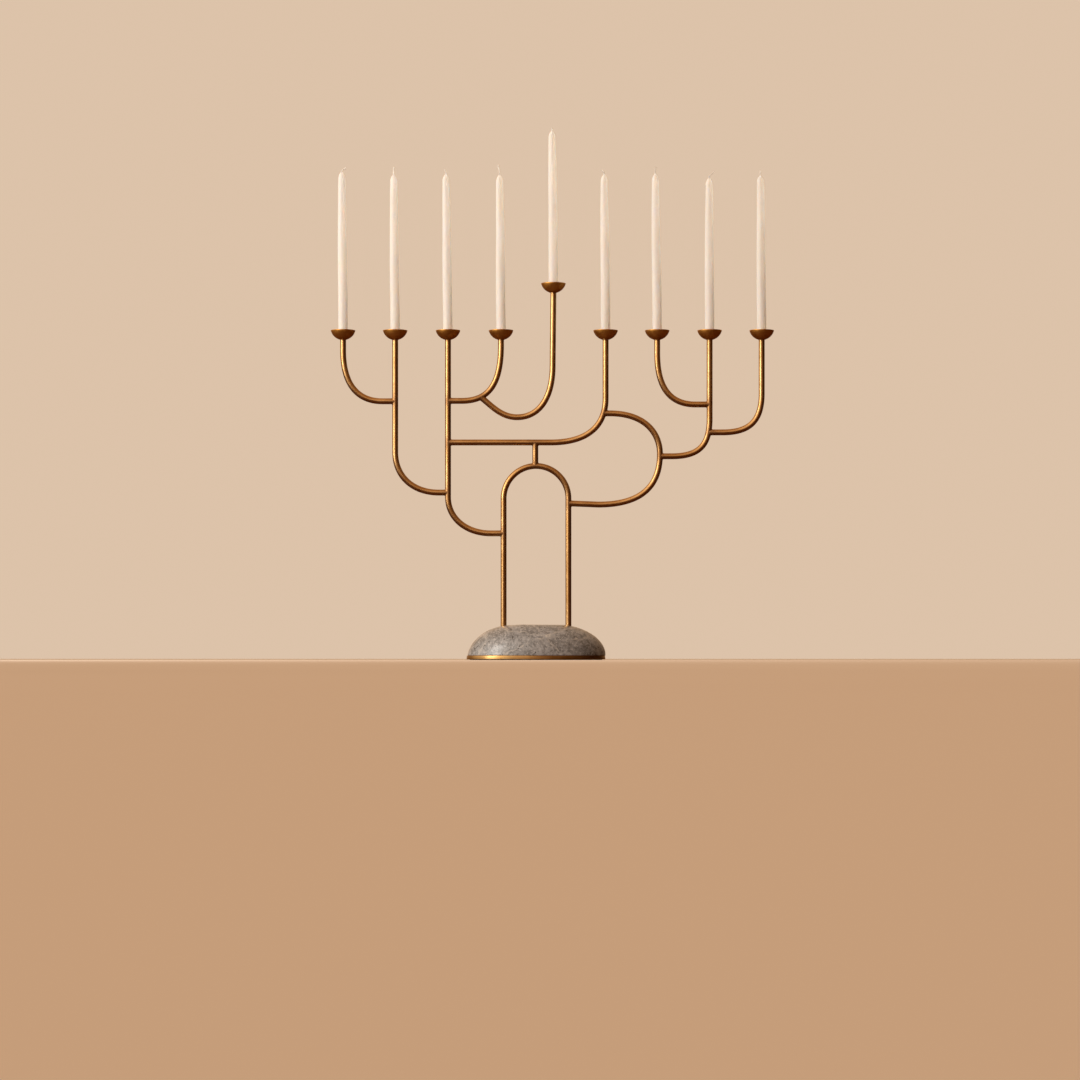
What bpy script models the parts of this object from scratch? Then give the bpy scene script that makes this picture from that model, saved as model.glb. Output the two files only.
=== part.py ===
"""Nine-branch menorah: bent brass rods on a stone dome, with candle cups and lift-out candles.

Metres, +Z up. The branches lie in the XZ plane and the front faces -Y. The origin is the
centre of the base's underside.
"""

import math

import bmesh
import bpy
from mathutils import Vector
from mathutils.geometry import interpolate_bezier

MM = 0.001

# Fit and mesh quality
GAP = 0.3 * MM
WELD = 0.01 * MM
SHARP_ANGLE = math.radians(40)
BEND_POINTS = 9
ROD_BEVEL_RESOLUTION = 3
WICK_BEVEL_RESOLUTION = 1
BOWL_STEPS = 16
SLEEVE_STEPS = 12
CANDLE_STEPS = 12
BASE_STEPS = 32
SCREW_STEPS = 12

# Base, from the felt up
BASE_HALF_WIDTH = 69.5 * MM
BASE_DEPTH_RATIO = 0.6
FELT_THICKNESS = 0.5 * MM
FELT_INSET = 3.0 * MM
PLATE_BOTTOM = FELT_THICKNESS + GAP
PLATE_THICKNESS = 3.5 * MM
PLATE_CHAMFER = 0.4 * MM
STONE_BOTTOM = PLATE_BOTTOM + PLATE_THICKNESS + GAP
STONE_TOP = 35.1 * MM
STONE_SIDE_RISE = 17.9 * MM
STONE_SHOULDER_X = 46.0 * MM
STONE_FLAT_X = 23.7 * MM
STONE_PROFILE_POINTS = 9

# Rods
ROD_RADIUS = 3.0 * MM
ARCH_HALF_WIDTH = 32.4 * MM
ARCH_SPRING_Z = 161.5 * MM
ARCH_STEPS = 16
STRUT_X = -0.7 * MM
CROSSBAR_Z = 217.4 * MM

# Base screws, in the arch's legs
SCREW_RADIUS = 1.5 * MM
SCREW_HEAD_RADIUS = 2.8 * MM
SCREW_TIP_Z = 16.0 * MM
SCREW_RECESS_RADIUS = 1.15 * MM
SCREW_RECESS_DEPTH = 1.0 * MM
LEG_BORE_TOP = SCREW_TIP_Z + 1.0 * MM

# Cups. Heights in a cup are from the underside of its flat seat.
BOWL_SPHERE_RADIUS = 12.8 * MM
BOWL_DEPTH = 9.3 * MM
BOWL_WALL = 0.8 * MM
BOWL_ARC_POINTS = 5
SEAT_RADIUS = 3.2 * MM
SPIGOT_RADIUS = 1.5 * MM
SPIGOT_HEIGHT = 2.3 * MM
CUP_RIM_Z = 329.5 * MM
SHAMASH_RIM_Z = 376.5 * MM
CUP_SEAT_Z = CUP_RIM_Z - BOWL_DEPTH
SHAMASH_SEAT_Z = SHAMASH_RIM_Z - BOWL_DEPTH

# Candle sleeves, inside the cups
SLEEVE_BORE_RADIUS = 5.0 * MM
SLEEVE_OUTER_RADIUS = 5.7 * MM
SLEEVE_FOOT_RADIUS = 2.7 * MM
SLEEVE_FOOT_Z = BOWL_WALL + GAP
SLEEVE_SHOULDER_Z = 2.2 * MM
SLEEVE_FLOOR_Z = 2.6 * MM
SLEEVE_TOP_Z = 8.7 * MM

# Candles and wicks
CANDLE_BASE_RADIUS = SLEEVE_BORE_RADIUS - GAP
CANDLE_SHOULDER_RADIUS = 3.2 * MM
CANDLE_TAPER_POWER = 2.6
CANDLE_TAPER_POINTS = 6
CANDLE_CONE_HEIGHT = 6.0 * MM
CANDLE_CONE_POINTS = 5
CANDLE_TIP_RADIUS = 1.2 * MM
CANDLE_SEAT_Z = SLEEVE_FLOOR_Z + GAP
WICK_RADIUS = 0.55 * MM
WICK_HOLE_RADIUS = WICK_RADIUS + GAP
WICK_HOLE_DEPTH = 7.0 * MM
WICK_POINTS = 5
WICK_NECK_SHARE = 0.25
WICK_PULL_SHARE = 0.3

# One branch a line: name, stem's x, run's height, bend's height and reach, how square the
# bend is, and the x of the rod that the run ends on.
BENT_BRANCHES = [
    ("left_outer_branch", -192.9, 258.6, 50.5, 39.3, 0.65, -140.8),
    ("left_second_branch", -140.8, 167.3, 40.5, 43.7, 0.60, -88.0),
    ("left_main_branch", -88.0, 126.5, 36.3, 43.0, 0.58, -32.4),
    ("left_inner_branch", -35.0, 259.0, 56.2, 39.5, 0.70, -88.0),
    ("crossbar_branch", 69.6, 217.4, 44.0, 55.0, 0.65, -88.0),
    ("right_inner_branch", 121.2, 255.4, 51.1, 38.4, 0.67, 173.6),
    ("right_main_branch", 173.6, 203.6, 37.4, 38.2, 0.72, 124.1),
    ("right_outer_branch", 225.7, 227.5, 39.0, 39.0, 0.70, 172.6),
]

# The rods that each rod is shaped to fit round, at its ends
FITTED_AGAINST = {
    "left_outer_branch": ["left_second_branch"],
    "left_second_branch": ["left_main_branch"],
    "left_main_branch": ["arch"],
    "left_inner_branch": ["left_main_branch"],
    "shamash_branch": ["left_inner_branch"],
    "crossbar_branch": ["left_main_branch"],
    "right_inner_branch": ["right_main_branch"],
    "right_main_branch": ["loop_branch"],
    "right_outer_branch": ["right_main_branch"],
    "loop_branch": ["arch", "crossbar_branch"],
    "strut": ["arch", "crossbar_branch"],
}

# One cup a line, from the left: its branch, its candle's length in millimetres, how many
# degrees the candle leans to the left, and how far the free end of the wick stands to the
# right of the wax tip and above it, in millimetres.
CUPS = [
    ("left_outer_branch", 164.0, 0.5, 4.2, 5.0),
    ("left_second_branch", 161.3, 0.6, 0.5, 8.6),
    ("left_main_branch", 161.8, 0.8, -0.7, 5.8),
    ("left_inner_branch", 161.0, 0.5, -1.6, 11.0),
    ("shamash_branch", 158.3, 0.5, -0.3, 3.6),
    ("crossbar_branch", 161.6, 0.5, -2.4, 5.1),
    ("right_inner_branch", 162.0, 0.7, 0.1, 7.3),
    ("right_main_branch", 158.0, 0.2, 5.2, 7.4),
    ("right_outer_branch", 160.4, 0.5, 0.2, 5.8),
]


def clear_scene():
    for obj in list(bpy.data.objects):
        bpy.data.objects.remove(obj)


def new_collection(name):
    collection = bpy.data.collections.new(name)
    bpy.context.scene.collection.children.link(collection)
    return collection


def principled(name, colour, roughness, metallic=0.0):
    material = bpy.data.materials.new(name)
    material.use_nodes = True
    shader = material.node_tree.nodes["Principled BSDF"]
    shader.inputs["Base Color"].default_value = (*colour, 1.0)
    shader.inputs["Roughness"].default_value = roughness
    shader.inputs["Metallic"].default_value = metallic
    return material


def front_point(x, z):
    """A point of the branches' plane."""
    return Vector((x, 0.0, z))


def add_object(name, data, material=None):
    """A new object of the menorah, which paints it if the mesh isn't painted yet."""
    obj = bpy.data.objects.new(name, data)
    menorah.objects.link(obj)
    if material and not data.materials:
        data.materials.append(material)
    return obj


def baked_mesh(obj):
    """The welded mesh that an object's curve or modifiers make. The object is removed."""
    graph = bpy.context.evaluated_depsgraph_get()
    mesh = bpy.data.meshes.new_from_object(obj.evaluated_get(graph))
    work = bmesh.new()
    work.from_mesh(mesh)
    bmesh.ops.remove_doubles(work, verts=work.verts, dist=WELD)
    work.to_mesh(mesh)
    work.free()
    mesh.shade_smooth()
    mesh.set_sharp_from_angle(angle=SHARP_ANGLE)
    bpy.data.objects.remove(obj)
    return mesh


def tube_mesh(points, radius, bevel_resolution):
    """A round bar along the points, with flat ends."""
    curve = bpy.data.curves.new("path", "CURVE")
    curve.dimensions = "3D"
    curve.bevel_depth = radius
    curve.bevel_resolution = bevel_resolution
    curve.use_fill_caps = True
    spline = curve.splines.new("POLY")
    spline.points.add(len(points) - 1)
    for spline_point, point in zip(spline.points, points):
        spline_point.co = (*point, 1.0)
    return baked_mesh(add_object("path", curve))


def turned_mesh(profile, steps, closed=False):
    """A profile of (radius, height) turned about Z. It runs down its outer side."""
    mesh = bpy.data.meshes.new("profile")
    edges = [(i, i + 1) for i in range(len(profile) - 1)]
    if closed:
        edges.append((len(profile) - 1, 0))
    mesh.from_pydata([(radius, 0.0, height) for radius, height in profile], edges, [])
    obj = add_object("profile", mesh)
    screw = obj.modifiers.new("Turn", "SCREW")
    screw.steps = steps
    screw.render_steps = steps
    screw.use_merge_vertices = True
    screw.merge_threshold = WELD
    return baked_mesh(obj)


def squash_depth(mesh, ratio):
    """Turns a round base piece into an oval one, shallow from front to back."""
    for vertex in mesh.vertices:
        vertex.co.y *= ratio


def cylinder(name, radius, bottom, top, x=0.0, top_radius=None, vertices=SCREW_STEPS):
    """An upright cylinder or cone, used as a tool by the Boolean modifiers."""
    bpy.ops.mesh.primitive_cone_add(
        vertices=vertices,
        radius1=radius,
        radius2=radius if top_radius is None else top_radius,
        depth=top - bottom,
        location=(x, 0.0, (top + bottom) / 2),
    )
    obj = bpy.context.object
    obj.name = name
    return make_tool(obj)


def make_tool(obj):
    """Moves an object to the tools, which are left out of the menorah."""
    for collection in list(obj.users_collection):
        collection.objects.unlink(obj)
    tools.objects.link(obj)
    obj.hide_render = True
    obj.display_type = "WIRE"
    return obj


def combine(obj, tool, operation):
    boolean = obj.modifiers.new(f"{operation.title()} {tool.name}", "BOOLEAN")
    boolean.operation = operation
    boolean.solver = "EXACT"
    boolean.object = tool


# Rod paths


def bend(start, start_pull, end, end_pull):
    """Points of a smooth bend. Each pull says which way, and how hard, the bend leaves its end."""
    return interpolate_bezier(start, start + start_pull, end + end_pull, end, BEND_POINTS)


def bent_branch_path(name):
    """Down the stem from its cup, round the bend and along the run to the next rod."""
    values = next(branch[1:] for branch in BENT_BRANCHES if branch[0] == name)
    stem_x, run_z, drop, reach, _, host_x = (value * MM for value in values)
    squareness = values[4]
    side = math.copysign(1.0, host_x - stem_x)
    turn = bend(
        front_point(stem_x, run_z + drop),
        front_point(0.0, -drop * squareness),
        front_point(stem_x + side * reach, run_z),
        front_point(-side * reach * squareness, 0.0),
    )
    return [front_point(stem_x, CUP_SEAT_Z - GAP), *turn, front_point(host_x, run_z)]


def shamash_path():
    """Down from the raised cup, round a hook and up to the left inner branch."""
    top = front_point(17.4 * MM, SHAMASH_SEAT_Z - GAP)
    stem_foot = front_point(16.6 * MM, 293.0 * MM)
    lowest = front_point(-18.8 * MM, 242.5 * MM)
    rise_end = front_point(-50.5 * MM, 258.8 * MM)
    join = front_point(-55.0 * MM, 262.6 * MM)
    stem_pull = (stem_foot - top).normalized() * 34.0 * MM
    join_pull = (join - rise_end).normalized() * 11.5 * MM
    fall = bend(stem_foot, stem_pull, lowest, front_point(20.0 * MM, 0.0))
    rise = bend(lowest, front_point(-14.0 * MM, 0.0), rise_end, -join_pull)
    return [top, *fall, *rise[1:], join]


def loop_path():
    """From the arch's right leg out, up round the outside and back to the crossbar branch."""
    start = front_point(ARCH_HALF_WIDTH, 156.5 * MM)
    run_end = front_point(62.1 * MM, 155.3 * MM)
    widest = front_point(124.1 * MM, 205.8 * MM)
    return_end = front_point(74.0 * MM, 246.5 * MM)
    join = front_point(67.4 * MM, 246.5 * MM)
    out = bend(run_end, front_point(26.9 * MM, 0.0), widest, front_point(0.0, -43.9 * MM))
    back = bend(widest, front_point(0.0, 22.3 * MM), return_end, front_point(33.7 * MM, 0.0))
    return [start, *out, *back[1:], join]


def arch_path():
    """Up the left leg, over a half circle and down the right leg."""
    leg_end = STONE_BOTTOM
    over = []
    for step in range(ARCH_STEPS + 1):
        angle = math.pi * (1 - step / ARCH_STEPS)
        x = ARCH_HALF_WIDTH * math.cos(angle)
        z = ARCH_SPRING_Z + ARCH_HALF_WIDTH * math.sin(angle)
        over.append(front_point(x, z))
    return [front_point(-ARCH_HALF_WIDTH, leg_end), *over, front_point(ARCH_HALF_WIDTH, leg_end)]


def strut_path():
    return [
        front_point(STRUT_X, ARCH_SPRING_Z + ARCH_HALF_WIDTH),
        front_point(STRUT_X, CROSSBAR_Z),
    ]


# Parts


def build_rods():
    """Every rod, with its ends hollowed to sit round the rods that it meets."""
    paths = {branch[0]: bent_branch_path(branch[0]) for branch in BENT_BRANCHES}
    paths["shamash_branch"] = shamash_path()
    paths["loop_branch"] = loop_path()
    paths["arch"] = arch_path()
    paths["strut"] = strut_path()
    hosts = {host for ends in FITTED_AGAINST.values() for host in ends}
    seats = {}
    for host in sorted(hosts):
        mesh = tube_mesh(paths[host], ROD_RADIUS + GAP, ROD_BEVEL_RESOLUTION)
        seats[host] = make_tool(add_object(f"seat_round_{host}", mesh))
    for name, path in paths.items():
        rod = add_object(name, tube_mesh(path, ROD_RADIUS, ROD_BEVEL_RESOLUTION), brass)
        for host in FITTED_AGAINST.get(name, []):
            combine(rod, seats[host], "DIFFERENCE")


def fit_spigot(branch_name, x, seat_z):
    """A turned-down end on the branch, which passes through the cup into the sleeve."""
    spigot = cylinder(
        f"spigot_{branch_name}", SPIGOT_RADIUS, seat_z - ROD_RADIUS, seat_z + SPIGOT_HEIGHT, x
    )
    combine(bpy.data.objects[branch_name], spigot, "UNION")


def bowl_arc(radius, low_z, high_z):
    """Points up the bowl's sphere between two heights above the seat."""
    centre_z = math.sqrt(BOWL_SPHERE_RADIUS**2 - SEAT_RADIUS**2)
    low_angle = math.asin((low_z - centre_z) / radius)
    high_angle = math.asin((high_z - centre_z) / radius)
    points = []
    for step in range(BOWL_ARC_POINTS):
        angle = low_angle + (high_angle - low_angle) * step / (BOWL_ARC_POINTS - 1)
        points.append((radius * math.cos(angle), centre_z + radius * math.sin(angle)))
    return points


def cup_mesh():
    outer = bowl_arc(BOWL_SPHERE_RADIUS, 0.0, BOWL_DEPTH)
    inner = bowl_arc(BOWL_SPHERE_RADIUS - BOWL_WALL, BOWL_WALL, BOWL_DEPTH)
    hole_radius = SPIGOT_RADIUS + GAP
    hole = [(hole_radius, 0.0), (hole_radius, BOWL_WALL)]
    return turned_mesh([*reversed(outer), *hole, *inner], BOWL_STEPS, closed=True)


def sleeve_mesh():
    hole_radius = SPIGOT_RADIUS + GAP
    profile = [
        (SLEEVE_BORE_RADIUS, SLEEVE_TOP_Z),
        (SLEEVE_OUTER_RADIUS, SLEEVE_TOP_Z),
        (SLEEVE_OUTER_RADIUS, SLEEVE_SHOULDER_Z),
        (SLEEVE_FOOT_RADIUS, SLEEVE_FOOT_Z),
        (hole_radius, SLEEVE_FOOT_Z),
        (hole_radius, SLEEVE_FLOOR_Z),
        (SLEEVE_BORE_RADIUS, SLEEVE_FLOOR_Z),
    ]
    return turned_mesh(profile, SLEEVE_STEPS, closed=True)


def candle_mesh(length):
    """A tapered candle with a domed tip and a hole for the wick, from its base up."""
    hole = [
        (0.0, length - WICK_HOLE_DEPTH),
        (WICK_HOLE_RADIUS, length - WICK_HOLE_DEPTH),
        (WICK_HOLE_RADIUS, length),
    ]
    cone = []
    for step in range(CANDLE_CONE_POINTS):
        share = step / (CANDLE_CONE_POINTS - 1)
        swell = (CANDLE_SHOULDER_RADIUS - CANDLE_TIP_RADIUS) * math.sin(share * math.pi / 2)
        cone.append((CANDLE_TIP_RADIUS + swell, length - share * CANDLE_CONE_HEIGHT))
    taper = []
    for step in range(1, CANDLE_TAPER_POINTS):
        share = 1 - step / (CANDLE_TAPER_POINTS - 1)
        narrowing = (CANDLE_BASE_RADIUS - CANDLE_SHOULDER_RADIUS) * share**CANDLE_TAPER_POWER
        taper.append((CANDLE_BASE_RADIUS - narrowing, share * (length - CANDLE_CONE_HEIGHT)))
    return turned_mesh([*hole, *cone, *taper, (0.0, 0.0)], CANDLE_STEPS)


def wick_mesh(lean, rise):
    """A wick from inside the wax, about the wax tip, bending over to its free end."""
    foot = front_point(0.0, GAP - WICK_HOLE_DEPTH)
    neck = front_point(0.0, WICK_NECK_SHARE * rise)
    free_end = front_point(lean, rise)
    above_neck = neck + front_point(0.0, WICK_PULL_SHARE * rise)
    below_end = free_end - front_point(WICK_PULL_SHARE * lean, WICK_PULL_SHARE * rise)
    curl = interpolate_bezier(neck, above_neck, below_end, free_end, WICK_POINTS)
    return tube_mesh([foot, *curl], WICK_RADIUS, WICK_BEVEL_RESOLUTION)


def add_empty(name, location, parent=None):
    empty = bpy.data.objects.new(name, None)
    menorah.objects.link(empty)
    empty.location = location
    empty.parent = parent
    return empty


def add_on(parent, name, mesh, material, height=0.0):
    """A piece that stands on its parent's axis, at a height above it."""
    piece = add_object(name, mesh, material)
    piece.parent = parent
    piece.location.z = height


def build_cup_stacks():
    """On each branch: the cup, the sleeve in it, the candle in the sleeve and its wick."""
    cup_shape = cup_mesh()
    sleeve_shape = sleeve_mesh()
    for number, (branch, length_mm, tilt_degrees, lean_mm, rise_mm) in enumerate(CUPS, start=1):
        top = branch_top(branch)
        fit_spigot(branch, top.x, top.z)
        cup_seat = add_empty(f"cup_seat_{number}", top)
        add_on(cup_seat, f"cup_{number}", cup_shape, bronze)
        add_on(cup_seat, f"candle_sleeve_{number}", sleeve_shape, sleeve_brass)
        candle_seat = add_empty(f"candle_seat_{number}", (0.0, 0.0, CANDLE_SEAT_Z), cup_seat)
        candle_seat.rotation_euler.y = -math.radians(tilt_degrees)
        length = length_mm * MM
        add_on(candle_seat, f"candle_{number}", candle_mesh(length), wax)
        add_on(candle_seat, f"wick_{number}", wick_mesh(lean_mm * MM, rise_mm * MM), cotton, length)


def branch_top(name):
    """The centre of the cup's seat above a branch."""
    path = shamash_path() if name == "shamash_branch" else bent_branch_path(name)
    return path[0] + front_point(0.0, GAP)


def stone_profile():
    """From the middle of the top, out over the shoulder and down to the flat underside."""
    shoulder = interpolate_bezier(
        front_point(STONE_FLAT_X, STONE_TOP),
        front_point(STONE_SHOULDER_X, STONE_TOP),
        front_point(BASE_HALF_WIDTH, STONE_BOTTOM + STONE_SIDE_RISE),
        front_point(BASE_HALF_WIDTH, STONE_BOTTOM),
        STONE_PROFILE_POINTS,
    )
    return [(0.0, STONE_TOP), *((point.x, point.z) for point in shoulder), (0.0, STONE_BOTTOM)]


def plate_profile():
    top = PLATE_BOTTOM + PLATE_THICKNESS
    return [
        (0.0, top),
        (BASE_HALF_WIDTH - PLATE_CHAMFER, top),
        (BASE_HALF_WIDTH, top - PLATE_CHAMFER),
        (BASE_HALF_WIDTH, PLATE_BOTTOM + PLATE_CHAMFER),
        (BASE_HALF_WIDTH - PLATE_CHAMFER, PLATE_BOTTOM),
        (0.0, PLATE_BOTTOM),
    ]


def felt_profile():
    radius = BASE_HALF_WIDTH - FELT_INSET
    return [(0.0, FELT_THICKNESS), (radius, FELT_THICKNESS), (radius, 0.0), (0.0, 0.0)]


def screw_profile():
    """A countersunk screw, head down: from its tip down the shank to the head's flat."""
    head_height = SCREW_HEAD_RADIUS - SCREW_RADIUS
    return [
        (0.0, SCREW_TIP_Z),
        (SCREW_RADIUS, SCREW_TIP_Z),
        (SCREW_RADIUS, PLATE_BOTTOM + head_height),
        (SCREW_HEAD_RADIUS, PLATE_BOTTOM),
        (0.0, PLATE_BOTTOM),
    ]


def build_base():
    """The stone on its plate and felt, drilled for the arch's legs and their screws."""
    shapes = [
        ("stone_base", stone_profile(), stone),
        ("base_plate", plate_profile(), polished_brass),
        ("felt_pad", felt_profile(), felt),
    ]
    for name, profile, material in shapes:
        mesh = turned_mesh(profile, BASE_STEPS)
        squash_depth(mesh, BASE_DEPTH_RATIO)
        add_object(name, mesh, material)
    screw_shape = turned_mesh(screw_profile(), SCREW_STEPS)
    for side_name, x in (("left", -ARCH_HALF_WIDTH), ("right", ARCH_HALF_WIDTH)):
        screw = add_object(f"base_screw_{side_name}", screw_shape, steel)
        screw.location.x = x
        cut_leg_holes(side_name, x, screw)


def cut_leg_holes(side_name, x, screw):
    """One leg's hole in the stone, its tapped bore, the plate's countersink and the hex recess."""
    parts = bpy.data.objects
    shank_radius = SCREW_RADIUS + GAP
    head_radius = SCREW_HEAD_RADIUS + GAP
    leg_hole = cylinder(f"leg_hole_{side_name}", ROD_RADIUS + GAP, 0.0, 2 * STONE_TOP, x)
    bore = cylinder(f"leg_bore_{side_name}", shank_radius, 0.0, LEG_BORE_TOP, x)
    countersink = cylinder(
        f"countersink_{side_name}",
        head_radius + GAP,
        PLATE_BOTTOM - GAP,
        PLATE_BOTTOM + head_radius - shank_radius,
        x,
        top_radius=shank_radius,
    )
    recess = cylinder(
        f"hex_recess_{side_name}",
        SCREW_RECESS_RADIUS,
        PLATE_BOTTOM - GAP,
        PLATE_BOTTOM + SCREW_RECESS_DEPTH,
        x,
        vertices=6,
    )
    combine(parts["stone_base"], leg_hole, "DIFFERENCE")
    combine(parts["arch"], bore, "DIFFERENCE")
    combine(parts["base_plate"], bore, "DIFFERENCE")
    combine(parts["base_plate"], countersink, "DIFFERENCE")
    combine(screw, recess, "DIFFERENCE")


clear_scene()
menorah = new_collection("menorah")
tools = new_collection("tools")

brass = principled("aged_brass", (0.42, 0.25, 0.09), 0.32, metallic=1.0)
polished_brass = principled("polished_brass", (0.62, 0.42, 0.16), 0.22, metallic=1.0)
bronze = principled("dark_bronze", (0.20, 0.12, 0.06), 0.38, metallic=1.0)
sleeve_brass = principled("sleeve_brass", (0.36, 0.22, 0.09), 0.40, metallic=1.0)
stone = principled("grey_stone", (0.22, 0.20, 0.18), 0.45)
felt = principled("brown_felt", (0.10, 0.07, 0.05), 0.95)
steel = principled("screw_steel", (0.45, 0.45, 0.46), 0.35, metallic=1.0)
wax = principled("ivory_wax", (0.86, 0.82, 0.72), 0.45)
cotton = principled("cotton_wick", (0.80, 0.76, 0.66), 0.90)

build_rods()
build_base()
build_cup_stacks()
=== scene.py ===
"""The looks of a nine-branch menorah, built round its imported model.

Metres, +Z up, the front faces -Y. Bent brass rods stand in a stone dome on a brass plate.
Each of the nine branches carries a bowl, a sleeve in it, and a candle that lifts out.
"""

import math

import bmesh
import bpy
import numpy as np
from mathutils import Matrix, Vector, noise


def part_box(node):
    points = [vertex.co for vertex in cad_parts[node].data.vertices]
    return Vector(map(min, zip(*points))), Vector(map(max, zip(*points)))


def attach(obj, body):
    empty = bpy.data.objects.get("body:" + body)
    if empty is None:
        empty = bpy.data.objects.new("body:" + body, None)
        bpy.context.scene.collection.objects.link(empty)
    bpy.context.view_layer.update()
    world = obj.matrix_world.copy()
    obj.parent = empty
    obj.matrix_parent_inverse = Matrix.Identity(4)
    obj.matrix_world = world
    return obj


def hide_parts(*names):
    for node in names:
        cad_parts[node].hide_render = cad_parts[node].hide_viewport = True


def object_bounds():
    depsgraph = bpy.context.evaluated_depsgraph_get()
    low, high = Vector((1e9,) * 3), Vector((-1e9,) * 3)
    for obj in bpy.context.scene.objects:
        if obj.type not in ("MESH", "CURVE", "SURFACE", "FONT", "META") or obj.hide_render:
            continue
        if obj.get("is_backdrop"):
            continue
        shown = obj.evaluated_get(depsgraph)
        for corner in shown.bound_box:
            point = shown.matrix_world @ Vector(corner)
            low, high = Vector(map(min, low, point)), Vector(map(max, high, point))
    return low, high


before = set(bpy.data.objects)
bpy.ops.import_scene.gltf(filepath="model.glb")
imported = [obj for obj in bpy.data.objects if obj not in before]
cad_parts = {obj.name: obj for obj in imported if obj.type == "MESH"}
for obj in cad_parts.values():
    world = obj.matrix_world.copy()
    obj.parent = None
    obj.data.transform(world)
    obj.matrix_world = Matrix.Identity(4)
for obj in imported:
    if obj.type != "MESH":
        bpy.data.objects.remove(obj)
cad_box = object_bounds()

MM = 0.001
SHARP_EDGE = math.radians(42)
SEED_SHIFT = (17.31, 5.77, 11.13)

# Rods
ROD_RADIUS = 3.0 * MM
ROD_SIDES = 28
ROD_RING_SPACING = 1.6 * MM
ROD_WAVINESS = 0.03 * MM
ROD_WAVE_LENGTH = 14.0 * MM
BEND_POINTS = 64
ARCH_POINTS = 97
ANGLES = np.arange(ROD_SIDES) * 2 * math.pi / ROD_SIDES

# The shamash and loop branches, as points (x, z) and how hard the rod pulls away from each
SHAMASH_CUP = 5
SHAMASH_STEM_FOOT = (16.6 * MM, 293.0 * MM)
SHAMASH_LOWEST_X = -18.8 * MM
SHAMASH_RISE_END = (-50.5 * MM, 258.8 * MM)
SHAMASH_JOIN = (-55.0 * MM, 262.6 * MM)
SHAMASH_STEM_PULL = 34.0 * MM
SHAMASH_FALL_PULL = (20.0 * MM, 0.0)
SHAMASH_RISE_PULL = (-14.0 * MM, 0.0)
SHAMASH_JOIN_PULL = 11.5 * MM
LOOP_START_Z = 156.5 * MM
LOOP_RUN_END = (62.1 * MM, 155.3 * MM)
LOOP_WIDEST_Z = 205.8 * MM
LOOP_RETURN_END = (74.0 * MM, 246.5 * MM)
LOOP_JOIN = (67.4 * MM, 246.5 * MM)
LOOP_RUN_PULL = (26.9 * MM, 0.0)
LOOP_DOWN_PULL = (0.0, -43.9 * MM)
LOOP_UP_PULL = (0.0, 22.3 * MM)
LOOP_RETURN_PULL = (33.7 * MM, 0.0)

# Joints between rods
FILLET = 1.0 * MM
FILLET_LEAST_SHARE = 0.08
FILLET_RINGS = 5
JOINT_SINK = 0.04 * MM
JOINT_SEARCH = 4 * ROD_RADIUS
JOINT_STAIN = 4.0 * MM
BISECTIONS = 30

# Rod tops, under and in the cups
SOLDER = 0.45 * MM
SOLDER_RINGS = 5
SPIGOT_RADIUS = 1.5 * MM
SPIGOT_HEIGHT = 2.25 * MM
SPIGOT_CHAMFER = 0.15 * MM
SPIGOT_ROOT = 0.12 * MM

# Cups. Heights in a cup are from the underside of its flat seat.
BOWL_SIDES = 72
BOWL_SPHERE_RADIUS = 12.8 * MM
BOWL_WALL = 0.8 * MM
BOWL_SEAT_RADIUS = 3.2 * MM
BOWL_ARC_POINTS = 18
BOWL_LIP_POINTS = 7
BOWL_LIP = 0.5 * MM
BOWL_WOBBLE = 0.08 * MM
BOWL_DENTS = 0.03 * MM
BOWL_DENT_SIZE = 6.0 * MM
BOWL_THIRD_LOBE = 0.6
BOWL_LOBE_PHASE = 2.2
BOWL_TILT = 0.6
BOWL_TILT_PHASE = 1.7
SPIGOT_HOLE_RADIUS = 1.6 * MM

# Candle sleeves
SLEEVE_SIDES = 48
SLEEVE_BORE_RADIUS = 5.0 * MM
SLEEVE_OUTER_RADIUS = 5.7 * MM
SLEEVE_FOOT_RADIUS = 2.7 * MM
SLEEVE_FOOT_Z = 1.1 * MM
SLEEVE_SHOULDER_Z = 2.2 * MM
SLEEVE_FLOOR_Z = 2.6 * MM
SLEEVE_EDGE = 0.15 * MM

# Candles and wicks
CANDLE_SIDES = 40
CANDLE_RINGS = 120
CANDLE_BASE_RADIUS = 4.7 * MM
CANDLE_SHOULDER_RADIUS = 3.55 * MM
CANDLE_TAPER_POWER = 2.6
CANDLE_CONE_HEIGHT = 6.2 * MM
CANDLE_CONE_RINGS = 16
CANDLE_CONE_POWER = 0.82
CANDLE_TIP_RADIUS = 1.3 * MM
CANDLE_NECK_HEIGHT = 2.2 * MM
CANDLE_NECK_RADIUS = 0.72 * MM
CANDLE_NECK_RINGS = 8
CANDLE_FOOT_EDGE = 0.5 * MM
CANDLE_WAVINESS = 0.07 * MM
CANDLE_SWAY = 0.16 * MM
CANDLE_SWAY_PHASE = 2.3
CANDLE_RIPPLE_SIZE = 7.0 * MM
CANDLE_RIPPLE_STRETCH = 2.5
CANDLE_STRAIGHT_FOOT = 10 * MM
CANDLE_FOOT_EASE = 25 * MM
CANDLE_TIP_EASE = 8 * MM
WICK_STRANDS = 3
WICK_STRAND_RADIUS = 0.46 * MM
WICK_STRAND_OFFSET = 0.28 * MM
WICK_TWIST_PITCH = 4.6 * MM
WICK_POINTS = 48
WICK_SIDES = 10
WICK_ROOT = 2.0 * MM
WICK_VOXEL = 0.09 * MM
WICK_NECK_SHARE = 0.25
WICK_PULL_SHARE = 0.3
WICK_FOOT_SWELL = 1.15
WICK_THINNING = 0.25

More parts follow.
